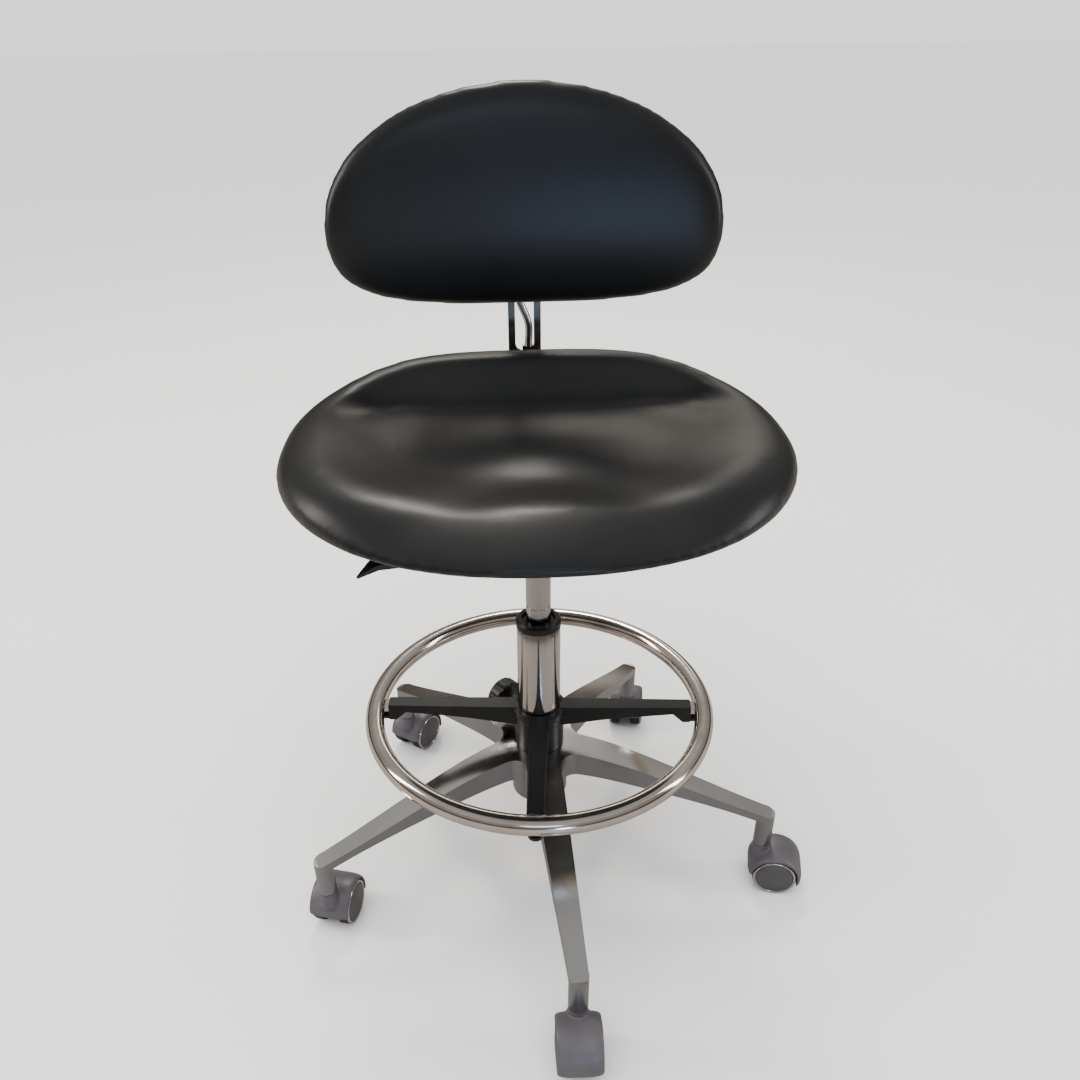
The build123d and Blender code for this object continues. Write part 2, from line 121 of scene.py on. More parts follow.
class Wire:
    # one number in a shader tree; sums and products on it add Math nodes
    def __init__(self, finish, socket):
        self.finish = finish
        self.socket = socket

    def maths(self, operation, first, second):
        node = self.finish.add("ShaderNodeMath", {"operation": operation}, {0: first, 1: second})
        return Wire(self.finish, node.outputs[0])

    def __add__(self, other):
        return self.maths("ADD", self, other)

    def __sub__(self, other):
        return self.maths("SUBTRACT", self, other)

    def __rsub__(self, other):
        return self.maths("SUBTRACT", other, self)

    def __mul__(self, other):
        return self.maths("MULTIPLY", self, other)

    __radd__ = __add__
    __rmul__ = __mul__


class Finish:
    # one material, with a Principled shader and the few nodes that vary it
    def __init__(self, name, **constants):
        self.material = bpy.data.materials.new(name)
        self.material.use_nodes = True
        self.nodes = self.material.node_tree.nodes
        self.links = self.material.node_tree.links
        self.shader = self.nodes["Principled BSDF"]
        coordinates = self.add("ShaderNodeTexCoord", {}, {})
        self.place = coordinates.outputs["Object"]
        self.normal = coordinates.outputs["Normal"]
        self.set(self.shader, constants)

    def set(self, node, inputs):
        for key, value in inputs.items():
            if isinstance(value, Wire):
                value = value.socket
            if isinstance(value, bpy.types.NodeSocket):
                self.links.new(value, node.inputs[key])
            else:
                node.inputs[key].default_value = value

    def add(self, kind, settings, inputs):
        node = self.nodes.new(kind)
        for key, value in settings.items():
            if key == "stops":
                self.setStops(node, value)
            else:
                setattr(node, key, value)
        self.set(node, inputs)
        return node

    def setStops(self, node, stops):
        ramp = node.color_ramp
        while len(ramp.elements) < len(stops):
            ramp.elements.new(0.5)
        for element, (position, colour) in zip(ramp.elements, stops):
            element.position = position
            element.color = colour

    def noise(self, scale, detail=3.0, stretch=(1, 1, 1), rough=0.5):
        moved = self.add("ShaderNodeMapping", {}, {"Vector": self.place, "Scale": stretch})
        made = self.add("ShaderNodeTexNoise", {}, {
            "Vector": moved.outputs[0], "Scale": scale, "Detail": detail, "Roughness": rough})
        return Wire(self, made.outputs[0])

    def cells(self, scale, feature="F1", stretch=(1, 1, 1)):
        moved = self.add("ShaderNodeMapping", {}, {"Vector": self.place, "Scale": stretch})
        made = self.add("ShaderNodeTexVoronoi", {"feature": feature}, {
            "Vector": moved.outputs[0], "Scale": scale})
        return Wire(self, made.outputs["Distance"])

    def ramp(self, value, dark, light, low=0.3, high=0.7):
        # a colour that runs from dark to light as the value runs from low to high
        return self.add("ShaderNodeValToRGB", {"stops": [(low, dark), (high, light)]}, {0: value}).outputs[0]

    def tint(self, *run):
        self.set(self.shader, {"Base Color": self.ramp(*run)})

    def relief(self, height, distance, strength=1.0):
        made = self.add("ShaderNodeBump", {}, {"Height": height, "Distance": distance, "Strength": strength})
        self.set(self.shader, {"Normal": made.outputs[0]})

    def rough(self, value):
        self.set(self.shader, {"Roughness": value})


def grey(value, warm=0.0):
    return (value * (1 + warm), value, value * (1 - warm), 1.0)


vinylLook = {
    "grain": 1050.0, "fold": 577.5, "pores": 2600.0, "patch": 7.0, "depth": 0.00009, "strength": 0.75,
    "grainShare": 0.6, "foldShare": 0.7, "poreShare": 0.25,
    "dull": 0.29, "patchDull": 0.10, "foldDull": 0.06,
    "patchTint": 0.6, "foldTint": 0.4, "tintLow": 0.3, "tintHigh": 0.75, "gloss": 0.46, "ior": 1.48,
    "dark": (0.0042, 0.0046, 0.0052, 1), "light": (0.0085, 0.0088, 0.0092, 1),
}


def vinylFinish():
    g = vinylLook
    finish = Finish("blackVinyl", **{"Specular IOR Level": g["gloss"], "IOR": g["ior"]})
    pebble = finish.cells(g["grain"], "SMOOTH_F1")
    fold = finish.noise(g["fold"], detail=4.0)
    pores = finish.noise(g["pores"], detail=2.0)
    patch = finish.noise(g["patch"], detail=3.0)
    height = pebble * g["grainShare"] + fold * g["foldShare"] + pores * g["poreShare"]
    finish.relief(height, g["depth"], g["strength"])
    finish.rough(patch * g["patchDull"] + fold * g["foldDull"] + g["dull"])
    worn = patch * g["patchTint"] + fold * g["foldTint"]
    finish.tint(worn, g["dark"], g["light"], g["tintLow"], g["tintHigh"])
    return finish.material


aluminiumLook = {
    "polish": 14.0, "polishStretch": (1, 1, 0.3), "polishRough": 0.4, "cast": 9.0, "castDepth": 0.00012,
    "scratch": 260.0, "scratchStretch": (1, 0.12, 1), "scratchRough": 0.6, "scratchShare": 0.02,
    "strength": 0.6, "dull": 0.17, "polishDull": 0.08, "scratchDull": 0.05, "topShine": 0.06,
    "sideEnds": 0.25, "topStarts": 0.9, "tintLow": 0.2, "tintHigh": 0.8,
    # painted shade colours for the sides and painted light colours for the tops
    "shadedSideDark": (0.27, 0.28, 0.305, 1), "shadedSideLight": (0.35, 0.36, 0.38, 1),
    "litTopDark": (0.66, 0.65, 0.625, 1), "litTopLight": (0.80, 0.79, 0.765, 1),
}


def aluminiumFinish():
    # tops are less rough than the cast sides; the colour is painted light on the tops and painted shade,
    # darker and cooler, on the sides, by which way the surface faces
    g = aluminiumLook
    finish = Finish("polishedAluminium", Metallic=1.0)
    polish = finish.noise(g["polish"], 2.0, g["polishStretch"], g["polishRough"])
    cast = finish.noise(g["cast"], detail=2.0)
    scratch = finish.noise(g["scratch"], 3.0, g["scratchStretch"], g["scratchRough"])
    # mask of up-facing tops: it lowers the roughness and mixes the painted light on the tops with the painted
    # shade on the sides
    facing = finish.add("ShaderNodeSeparateXYZ", {}, {0: finish.normal})
    top = finish.add("ShaderNodeMapRange", {"interpolation_type": "SMOOTHSTEP"}, {
        "Value": facing.outputs[2], "From Min": g["sideEnds"], "From Max": g["topStarts"]})
    top = Wire(finish, top.outputs[0])
    finish.relief(cast + scratch * g["scratchShare"], g["castDepth"], g["strength"])
    finish.rough(polish * g["polishDull"] + scratch * g["scratchDull"] + g["dull"] - top * g["topShine"])
    # painted light and shade: sideways-facing sides take the darker, cooler ramp, up-facing tops the lighter
    # one
    side = finish.ramp(polish, g["shadedSideDark"], g["shadedSideLight"], g["tintLow"], g["tintHigh"])
    bright = finish.ramp(polish, g["litTopDark"], g["litTopLight"], g["tintLow"], g["tintHigh"])
    mixed = finish.add("ShaderNodeMix", {"data_type": "RGBA"}, {"Factor": top, 6: side, 7: bright})
    finish.set(finish.shader, {"Base Color": mixed.outputs[2]})
    return finish.material


chromeLook = {
    "streak": 34.0, "streakRough": 0.55, "haze": 420.0, "depth": 0.00002, "strength": 0.4,
    "streakDull": 0.10, "hazeDull": 0.05, "darkShare": 0.76, "lightShare": 1.14,
    "tintLow": 0.25, "tintHigh": 0.75,
}


def chromeFinish(name, stretch, shade, warm, dull):
    g = chromeLook
    finish = Finish(name, Metallic=1.0)
    streak = finish.noise(g["streak"], 4.0, stretch, g["streakRough"])
    haze = finish.noise(g["haze"], detail=2.0)
    finish.relief(streak, g["depth"], g["strength"])
    finish.rough(streak * g["streakDull"] + haze * g["hazeDull"] + dull)
    dark, light = grey(shade * g["darkShare"], warm), grey(shade * g["lightShare"], warm)
    finish.tint(streak, dark, light, g["tintLow"], g["tintHigh"])
    return finish.material


plasticLook = {
    "texture": 2400.0, "cloud": 34.0, "depth": 0.00004, "strength": 0.6,
    "cloudDull": 0.10, "textureDull": 0.06,
}


def plasticFinish(name, dark, light, dull, depth=1.0, shine=0.5):
    g = plasticLook
    finish = Finish(name, **{"Specular IOR Level": shine})
    texture = finish.noise(g["texture"], detail=2.0)
    cloud = finish.noise(g["cloud"], detail=3.0)
    finish.relief(texture, g["depth"] * depth, g["strength"])
    finish.rough(cloud * g["cloudDull"] + texture * g["textureDull"] + dull)
    finish.tint(cloud, dark, light)
    return finish.material


paintLook = {
    "peel": 620.0, "cloud": 22.0, "depth": 0.00006, "strength": 0.7, "dull": 0.36, "peelDull": 0.12,
    "dark": grey(0.012), "light": grey(0.020),
}


def paintFinish():
    g = paintLook
    finish = Finish("blackPaint")
    peel = finish.noise(g["peel"], detail=3.0)
    cloud = finish.noise(g["cloud"], detail=2.0)
    finish.relief(peel, g["depth"], g["strength"])
    finish.rough(peel * g["peelDull"] + g["dull"])
    finish.tint(cloud, g["dark"], g["light"])
    return finish.material


steelLook = {
    "turned": 300.0, "stretch": (1, 1, 6), "depth": 0.00001, "strength": 0.5,
    "dull": 0.20, "turnedDull": 0.14,
    "dark": grey(0.42, 0.01), "light": grey(0.56, 0.01),
}


def steelFinish():
    g = steelLook
    finish = Finish("brightSteel", Metallic=1.0)
    turned = finish.noise(g["turned"], 3.0, g["stretch"])
    finish.relief(turned, g["depth"], g["strength"])
    finish.rough(turned * g["turnedDull"] + g["dull"])
    finish.tint(turned, g["dark"], g["light"])
    return finish.material


liningLook = {
    "weave": 900.0, "thread": 700.0, "stretch": (1, 3, 1), "threadShare": 0.5,
    "depth": 0.00018, "strength": 0.8,
    "dull": 0.74, "threadDull": 0.12, "dark": grey(0.010), "light": grey(0.021),
}


def boardFinish():
    g = liningLook
    finish = Finish("boardLining")
    weave = finish.cells(g["weave"])
    thread = finish.noise(g["thread"], 3.0, g["stretch"])
    finish.relief(weave + thread * g["threadShare"], g["depth"], g["strength"])
    finish.rough(thread * g["threadDull"] + g["dull"])
    finish.tint(thread, g["dark"], g["light"])
    return finish.material


brassLook = {
    "stain": 120.0, "dull": 0.22, "stainDull": 0.2,
    "dark": (0.42, 0.30, 0.11, 1), "light": (0.62, 0.47, 0.19, 1),
}


def brassFinish():
    g = brassLook
    finish = Finish("bearingBrass", Metallic=1.0)
    stain = finish.noise(g["stain"], detail=3.0)
    finish.rough(stain * g["stainDull"] + g["dull"])
    finish.tint(stain, g["dark"], g["light"])
    return finish.material


# chrome: stretch of the streaks, shade, warmth, dullness; plastic: dark and light colour, dullness
looks = {
    "vinyl": vinylFinish(),
    "aluminium": aluminiumFinish(),
    "columnChrome": chromeFinish("columnChrome", (1, 1, 0.12), 0.56, 0.05, 0.06),
    "cylinderSteel": chromeFinish("cylinderSteel", (1, 1, 0.05), 0.46, 0.01, 0.08),
    "ringChrome": chromeFinish("ringChrome", (0.5, 0.5, 1), 0.66, 0.08, 0.06),
    "trimChrome": chromeFinish("trimChrome", (1, 1, 1), 0.60, 0.02, 0.06),
    "steel": steelFinish(),
    "brass": brassFinish(),
    "paint": paintFinish(),
    "board": boardFinish(),
    "blackPlastic": plasticFinish("blackPlastic", grey(0.005), grey(0.009), 0.28, shine=0.32),
    "glossBlack": plasticFinish("glossBlack", grey(0.006), grey(0.009), 0.06, depth=0.3),
    "greyPlastic": plasticFinish("greyPlastic", (0.068, 0.061, 0.068, 1), (0.088, 0.080, 0.089, 1), 0.32),
    "capGrey": plasticFinish("capGrey", (0.050, 0.045, 0.048, 1), (0.066, 0.060, 0.064, 1), 0.30),
    "wheelBlack": plasticFinish("wheelBlack", grey(0.006), grey(0.010), 0.42),
    "nylon": plasticFinish("nylon", grey(0.018), grey(0.030), 0.34),
}
print("stage: materials,", len(looks))


# CAD nodes keep their shape and take a finish

nodeLooks = {
    "base_star": "aluminium", "column_tube": "columnChrome", "column_collar": "blackPlastic",
    "guide_sleeve": "nylon", "thrust_bearing": "brass", "piston_rod": "steel", "rod_clip": "steel",
    "gas_cylinder": "cylinderSteel", "release_button": "steel", "seat_mechanism": "paint",
    "lever_pin": "steel", "lift_lever": "paint", "lever_paddle": "glossBlack", "seat_bolts": "steel",
    "seat_board": "board", "back_arm": "trimChrome", "back_arm_stay": "trimChrome",
    "back_arm_bolts": "steel", "back_slider": "blackPlastic", "back_pin": "steel",
    "back_knob": "blackPlastic", "back_stud": "steel", "back_bracket": "paint", "back_screws": "steel",
    "back_board": "blackPlastic", "ring_bush": "nylon", "ring_hub": "blackPlastic",
    "foot_ring": "ringChrome", "ring_screws": "glossBlack", "ring_knob": "blackPlastic",
    "ring_stud": "steel",
}
for number in range(1, 6):
    nodeLooks[f"castor_{number}_stem"] = "steel"
    nodeLooks[f"castor_{number}_axle"] = "steel"

for nodeName, look in nodeLooks.items():
    meshData = frame["nodes"][nodeName].data
    meshData.materials.clear()
    meshData.materials.append(looks[look])
print("stage: CAD finishes,", len(nodeLooks))


# seat cushion

seatShape = {
    "midY": 0.012, "powerFront": 2.13, "powerBack": 2.65, "steps": 128, "rings": 26, "ringSpread": 0.8,
    "inset": 0.002, "rimSteps": 10, "underRings": (0.85, 0.6, 0.3),
    "edgeSide": 0.024, "edgeRear": 0.019, "edgeFront": 0.066, "under": 0.024,
    "waist": 0.43, "waistFront": 0.32,
    "sideTop": 0.0455, "rearTop": 0.0665, "frontTop": 0.0405, "lipPower": 1.12, "floor": 0.0275,
    "hump": 0.0160, "humpWide": 0.094, "humpY": -0.044, "humpLong": 0.062,
    "dip": 0.0060, "dipX": 0.125, "dipWide": 0.062, "dipStarts": 0.2, "dipFull": 0.8,
    "sideStarts": 0.50, "sideFadeFrom": 0.03, "sideFadeTo": 0.12, "rimStarts": 0.80,
    "wallFoot": 0.112, "wallHead": 0.200,
    "bowl": 0.0035, "bowlWide": 0.150, "bowlY": 0.030, "bowlSquash": 0.92, "bowlFull": 0.72, "bowlEnds": 1.08,
}


def ovalPoint(angle, halfX, up, down, powerUp, powerDown):
    c, s = math.cos(angle), math.sin(angle)
    power = powerUp if s >= 0 else powerDown
    reach = up if s >= 0 else down
    x = halfX * math.copysign(abs(c) ** (2 / power), c)
    return x, reach * math.copysign(abs(s) ** (2 / power), s)


def seatRim(angle, x):
    # height of the crest and width of the rounding, which change round the rim
    g = seatShape
    turn = math.sin(angle)
    part = smooth(0.0, 1.0, turn * turn)
    if turn >= 0:
        top = g["sideTop"] + (g["rearTop"] - g["sideTop"]) * part
        return top, g["edgeSide"] + (g["edgeRear"] - g["edgeSide"]) * part
    dip = g["dip"] * math.exp(-(((abs(x) - g["dipX"]) / g["dipWide"]) ** 2))
    dip *= smooth(g["dipStarts"], g["dipFull"], -turn)
    top = g["sideTop"] + (g["frontTop"] - g["sideTop"]) * part - dip
    return top, g["edgeSide"] + (g["edgeFront"] - g["edgeSide"]) * part


def seatDish(x, y, t, crest):
    # height inside the rim: a flat floor, a steep rear wall, soft sides and a raised front middle
    g = seatShape
    side = smooth(g["sideStarts"], 1.0, t) * (1 - smooth(g["sideFadeFrom"], g["sideFadeTo"], y))
    wall = smooth(g["wallFoot"], g["wallHead"], y)
    late = smooth(g["rimStarts"], 1.0, t)
    height = g["floor"] + (crest - g["floor"]) * (1 - (1 - side) * (1 - wall) * (1 - late))
    along = math.exp(-(((y - g["humpY"]) / g["humpLong"]) ** 2))
    height += g["hump"] * along * (1 - late) * math.exp(-((x / g["humpWide"]) ** 2))
    away = math.hypot(x * g["bowlSquash"], y - g["bowlY"]) / g["bowlWide"]
    return height - g["bowl"] * (1 - smooth(g["bowlFull"], g["bowlEnds"], away)) * (1 - late)


def buildSeat():
    g = seatShape
    low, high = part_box("seat_cushion")
    halfX = high.x - g["inset"]
    back = high.y - g["midY"] - g["inset"]
    front = g["midY"] - low.y - g["inset"]
    base = low.z
    angles = [2 * math.pi * i / g["steps"] for i in range(g["steps"])]
    rim = [ovalPoint(a, halfX, back, front, g["powerBack"], g["powerFront"]) for a in angles]
    crests = [seatRim(a, point[0]) for a, point in zip(angles, rim)]

    def inner(point, inset):
        scale = 1 - inset / math.hypot(*point)
        return point[0] * scale, point[1] * scale

    rings = [[(0, g["midY"], base + seatDish(0, 0, 0, g["floor"]))]]
    for i in range(1, g["rings"]):
        t = (i / g["rings"]) ** g["ringSpread"]
        ring = []
        for point, (top, edge) in zip(rim, crests):
            x, y = inner(point, edge)
            ring.append((x * t, y * t + g["midY"], base + seatDish(x * t, y * t, t, top)))
        rings.append(ring)
    for i in range(g["rimSteps"] + 1):
        a = math.pi * i / g["rimSteps"]
        ring = []
        for point, (top, edge) in zip(rim, crests):
            ahead = smooth(g["edgeSide"], g["edgeFront"], edge)
            mid = top * (g["waist"] + (g["waistFront"] - g["waist"]) * ahead)
            if a <= math.pi / 2:
                bend = 2 / (2 - (2 - g["lipPower"]) * ahead)
                place = inner(point, edge * (1 - math.sin(a) ** bend))
                z = mid + (top - mid) * max(0.0, math.cos(a)) ** bend
            else:
                place = inner(point, g["under"] * (1 - math.sin(a)))
                z = mid + mid * math.cos(a)
            ring.append((place[0], place[1] + g["midY"], base + z))
        rings.append(ring)
    last = rings[-1]
    for t in g["underRings"]:
        rings.append([(x * t, (y - g["midY"]) * t + g["midY"], base) for x, y, z in last])
    rings.append([(0, g["midY"], base)])
    verts, faces = skinRings(rings)
    return newPiece("seatPad", verts, faces, looks["vinyl"])


# backrest cushion

restShape = {
    "steps": 96, "rings": 12, "edge": 0.021, "under": 0.015, "dome": 0.015, "domePower": 2.0, "wrap": 1.6,
    "up": 0.142, "down": 0.090, "highPower": 2.0, "lowPower": 3.2, "front": 0.195, "thick": 0.042,
    "sideInset": 0.0015, "edgeInset": 0.001, "rimSteps": 8, "waist": 0.55, "underRings": (0.85, 0.6, 0.3),
}


def buildRest():
    g = restShape
    low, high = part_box("back_cushion")
    halfX = high.x - g["sideInset"]
    midZ = high.z - g["up"]
    front = g["front"]
    rear = front + g["thick"]
    angles = [2 * math.pi * i / g["steps"] for i in range(g["steps"])]
    up, down = g["up"] - g["edgeInset"], g["down"] - g["edgeInset"]
    rim = [ovalPoint(a, halfX, up, down, g["highPower"], g["lowPower"]) for a in angles]

    def point(x, z, y):
        return x, y - x * x / (2 * g["wrap"]), midZ + z

    def inner(spot, inset):
        scale = 1 - inset / math.hypot(*spot)
        return spot[0] * scale, spot[1] * scale

    def faceY(x, z):
        away = min(1.0, math.hypot(x / halfX, z / (g["up"] if z > 0 else g["down"])))
        return front + g["dome"] * away ** g["domePower"]

    rings = [[point(0, 0, front)]]
    for i in range(1, g["rings"]):
        t = i / g["rings"]
        ring = []
        for spot in rim:
            x, z = inner(spot, g["edge"])
            ring.append(point(x * t, z * t, faceY(x * t, z * t)))
        rings.append(ring)
    for i in range(g["rimSteps"] + 1):
        a = math.pi * i / g["rimSteps"]
        ring = []
        for spot in rim:
            x, z = inner(spot, g["edge"])
            near = faceY(x, z)
            mid = near + (rear - near) * g["waist"]
            if a <= math.pi / 2:
                place = inner(spot, g["edge"] * (1 - math.sin(a)))
                y = mid - (mid - near) * math.cos(a)
            else:
                place = inner(spot, g["under"] * (1 - math.sin(a)))
                y = mid + (rear - mid) * -math.cos(a)
            ring.append(point(place[0], place[1], y))
        rings.append(ring)
    last = rings[-1]
    for t in g["underRings"]:
        rings.append([point(x * t, (z - midZ) * t, rear) for x, y, z in last])
    rings.append([point(0, 0, rear)])
    verts, faces = skinRings(rings)
    return newPiece("backPad", verts, faces, looks["vinyl"])


# cloth pass for the two cushions

clothSetting = {
    "voxel": 0.0055, "pressure": 4.0, "frames": 20, "quality": 5, "mass": 0.35, "tension": 25, "shear": 12,
    "bending": 8, "relaxFactor": 0.5, "relaxSteps": 16, "seatCap": 0.0010, "backCap": 0.0008, "fill": 0.9,
}


def inflate(piece, cap):
    g = clothSetting
    rest = [v.co.copy() for v in piece.data.vertices]
    cloth = piece.modifiers.new("swell", "CLOTH")
    cloth.settings.use_pressure = True
    cloth.settings.uniform_pressure_force = g["pressure"]
    cloth.settings.effector_weights.gravity = 0
    cloth.settings.quality = g["quality"]
    cloth.settings.mass = g["mass"]
    cloth.settings.tension_stiffness = g["tension"]
    cloth.settings.compression_stiffness = g["tension"]
    cloth.settings.shear_stiffness = g["shear"]
    cloth.settings.bending_stiffness = g["bending"]
    scene = bpy.context.scene
    scene.frame_start = 1
    scene.frame_end = g["frames"]
    cloth.point_cache.frame_start = 1
    cloth.point_cache.frame_end = g["frames"]
    for number in range(1, g["frames"] + 1):
        scene.frame_set(number)
    applyModifiers(piece)
    for vert, start in zip(piece.data.vertices, rest):
        move = vert.co - start
        if move.length > cap:
            vert.co = start + move * (cap / move.length)
    scene.frame_set(1)
    piece.data.update()


def voxelCopy(piece):
    made = piece.modifiers.new("grid", "REMESH")
    made.mode = "VOXEL"
    made.voxel_size = clothSetting["voxel"]
    made.use_smooth_shade = True
    return applyModifiers(piece)


def keepInside(piece, low, high):
    # the swollen skin goes no further than the space its CAD solid holds
    for vert in piece.data.vertices:
        for axis in range(3):
            vert.co[axis] = min(high[axis], max(low[axis], vert.co[axis]))
    piece.data.update()


def finishPad(piece, node, cap, body):
    low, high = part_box(node)
    subdivide(piece, 1)
    voxelCopy(piece)
    inflate(piece, cap)
    keepInside(piece, low, high)
    relax = piece.modifiers.new("relax", "SMOOTH")
    relax.factor = clothSetting["relaxFactor"]
    relax.iterations = clothSetting["relaxSteps"]
    applyModifiers(piece)
    subdivide(piece, 1)
    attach(piece, body)
    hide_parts(node)
    print("stage:", piece.name, len(piece.data.polygons), "faces")


finishPad(buildSeat(), "seat_cushion", clothSetting["seatCap"], "seat_unit")
finishPad(buildRest(), "back_cushion", clothSetting["backCap"], "backrest")


# castors: moulded hood, and for each wheel a tread, chromed band, slots and cap

castorShape = {
    "trail": 0.020, "axleHeight": 0.0275, "half": 0.0252, "crown": 0.0336, "rim": 0.0299, "cavity": 0.0283,
    "shoulder": 0.0165, "shoulderSteps": 8, "lipDrop": 0.0006, "lipIn": 0.0005,
    "web": 0.0078, "webFoot": 0.006,
    "hub": 0.0090, "start": 4, "end": 196, "sweep": 44, "voxel": 0.00095, "relaxFactor": 0.5, "relaxSteps": 8,
    "collarSides": 40,
    "neck": [(0.0145, 0.046), (0.0132, 0.0525), (0.0115, 0.0575), (0.0108, 0.061), (0.0108, 0.0665)],
}


def lathe(profile, place, material, steps, name):
    # turns (radius, distance along the axle) points into a closed piece
    rings = []
    for radius, along in profile:
        if radius == 0:
            rings.append([place @ Vector((0, 0, along))])
        else:
            rings.append([place @ Vector((radius * math.cos(2 * math.pi * i / steps),
                                          radius * math.sin(2 * math.pi * i / steps), along))
                          for i in range(steps)])
    if profile[0] == profile[-1]:
        rings[-1] = rings[0]
    verts, faces = skinRings(rings)
    return newPiece(name, verts, faces, material)


def arcPoints(centre, radius, start, end, count):
    points = []
    for i in range(count + 1):
        a = math.radians(start + (end - start) * i / count)
        points.append((centre[0] + radius * math.cos(a), centre[1] + radius * math.sin(a)))
    return points


def hoodProfile():
    # section across the hood: (along the axle, distance from the axle)
    g = castorShape
    side, top = -g["half"] + g["lipIn"], g["crown"] - g["rim"]
    points = [(-g["half"], g["cavity"]), (-g["half"], g["rim"] - g["lipDrop"]), (side, g["rim"])]
    for i in range(1, g["shoulderSteps"]):
        a = math.pi / 2 * i / g["shoulderSteps"]
        points.append((side + g["shoulder"] * (1 - math.cos(a)), g["rim"] + top * math.sin(a)))
    right = [(-x, r) for x, r in reversed(points)]
    web, foot = g["web"], g["webFoot"]
    return points + right + [(web, g["cavity"]), (web, foot), (-web, foot), (-web, g["cavity"])]


def buildHood(number):
    g = castorShape
    swivel = Vector(joints[f"castor_{number}_swivel"]["pos_m"])
    along = joints[f"castor_{number}_left_roll"]["axis"]
    heading = Matrix.Rotation(math.atan2(along[1], along[0]), 4, "Z")
    place = Matrix.Translation((swivel.x, swivel.y, 0)) @ heading
    section = hoodProfile()
    verts, faces = [], []
    sweep = g["sweep"]
    for i in range(sweep + 1):
        a = math.radians(g["start"] + (g["end"] - g["start"]) * i / sweep)
        for x, r in section:
            verts.append((x, r * math.cos(a) - g["trail"], r * math.sin(a) + g["axleHeight"]))
    count = len(section)
    for i in range(sweep):
        for j in range(count):
            k = (j + 1) % count
            faces.append((i * count + j, i * count + k, (i + 1) * count + k, (i + 1) * count + j))
    faces.append(tuple(range(count)))
    faces.append(tuple(reversed(range(sweep * count, (sweep + 1) * count))))

    def addTube(profile, turn):
        rings = []
        for r, z in profile:
            turns = [2 * math.pi * n / g["collarSides"] for n in range(g["collarSides"])]
            rings.append([turn @ Vector((r * math.cos(a), r * math.sin(a), z)) for a in turns])
        ends = [[sum(ring, Vector()) / len(ring)] for ring in (rings[0], rings[-1])]
        rings = [ends[0]] + rings + [ends[1]]
        more, sides = skinRings(rings)
        start = len(verts)
        verts.extend(tuple(v) for v in more)
        faces.extend(tuple(start + n for n in face) for face in sides)

    level = Matrix.Translation((0, -g["trail"], g["axleHeight"])) @ Matrix.Rotation(math.pi / 2, 4, "Y")
    addTube([(g["hub"], -g["web"]), (g["hub"], g["web"])], level)
    addTube(g["neck"], Matrix.Identity(4))
    hood = newPiece(f"castor{number}Hood", verts, faces, looks["greyPlastic"])
    grid = hood.modifiers.new("grid", "REMESH")
    grid.mode = "VOXEL"
    grid.voxel_size = g["voxel"]
    relax = hood.modifiers.new("relax", "SMOOTH")
    relax.factor = g["relaxFactor"]
    relax.iterations = g["relaxSteps"]
    applyModifiers(hood)
    hood.data.transform(place)
    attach(hood, f"castor_{number}")
    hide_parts(f"castor_{number}_hood")


def wheelPlace(joint, side):
    along = Vector(joint["axis"]) * side
    return Matrix.Translation(Vector(joint["pos_m"])) @ along.to_track_quat("Z", "Y").to_matrix().to_4x4()


def slotTree():
    # small blocks set round a circle or an oval, each turned to face its middle
    tree = bpy.data.node_groups.new("slotRing", "GeometryNodeTree")
    tree.interface.new_socket("Count", in_out="INPUT", socket_type="NodeSocketInt")
    for label in ("Radius", "Long", "Wide", "Deep", "Height", "Stretch"):
        tree.interface.new_socket(label, in_out="INPUT", socket_type="NodeSocketFloat")
    tree.interface.new_socket("Finish", in_out="INPUT", socket_type="NodeSocketMaterial")
    tree.interface.new_socket("Geometry", in_out="OUTPUT", socket_type="NodeSocketGeometry")
    nodes, links = tree.nodes, tree.links
    given = nodes.new("NodeGroupInput")
    circle = nodes.new("GeometryNodeMeshCircle")
    squash = nodes.new("GeometryNodeTransform")
    oval = nodes.new("ShaderNodeCombineXYZ")
    oval.inputs[0].default_value = 1.0
    oval.inputs[2].default_value = 1.0
    block = nodes.new("GeometryNodeMeshCube")
    size = nodes.new("ShaderNodeCombineXYZ")
    align = nodes.new("FunctionNodeAlignRotationToVector")
    align.axis = "X"
    spot = nodes.new("GeometryNodeInputPosition")
    scatter = nodes.new("GeometryNodeInstanceOnPoints")
    raiseUp = nodes.new("GeometryNodeTransform")
    lift = nodes.new("ShaderNodeCombineXYZ")
    real = nodes.new("GeometryNodeRealizeInstances")
    finish = nodes.new("GeometryNodeSetMaterial")
    out = nodes.new("NodeGroupOutput")
    links.new(given.outputs["Radius"], circle.inputs["Radius"])
    links.new(given.outputs["Count"], circle.inputs["Vertices"])
    links.new(given.outputs["Wide"], size.inputs[0])
    links.new(given.outputs["Long"], size.inputs[1])
    links.new(given.outputs["Deep"], size.inputs[2])
    links.new(size.outputs[0], block.inputs["Size"])
    links.new(spot.outputs[0], align.inputs["Vector"])
    links.new(given.outputs["Stretch"], oval.inputs[1])
    links.new(circle.outputs[0], squash.inputs["Geometry"])
    links.new(oval.outputs[0], squash.inputs["Scale"])
    links.new(squash.outputs[0], scatter.inputs["Points"])
    links.new(block.outputs["Mesh"], scatter.inputs["Instance"])
    links.new(align.outputs[0], scatter.inputs["Rotation"])
    links.new(given.outputs["Height"], lift.inputs[2])
    links.new(scatter.outputs[0], raiseUp.inputs["Geometry"])
    links.new(lift.outputs[0], raiseUp.inputs["Translation"])
    links.new(raiseUp.outputs[0], real.inputs[0])
    links.new(real.outputs[0], finish.inputs["Geometry"])
    links.new(given.outputs["Finish"], finish.inputs["Material"])
    links.new(finish.outputs[0], out.inputs[0])
    return tree


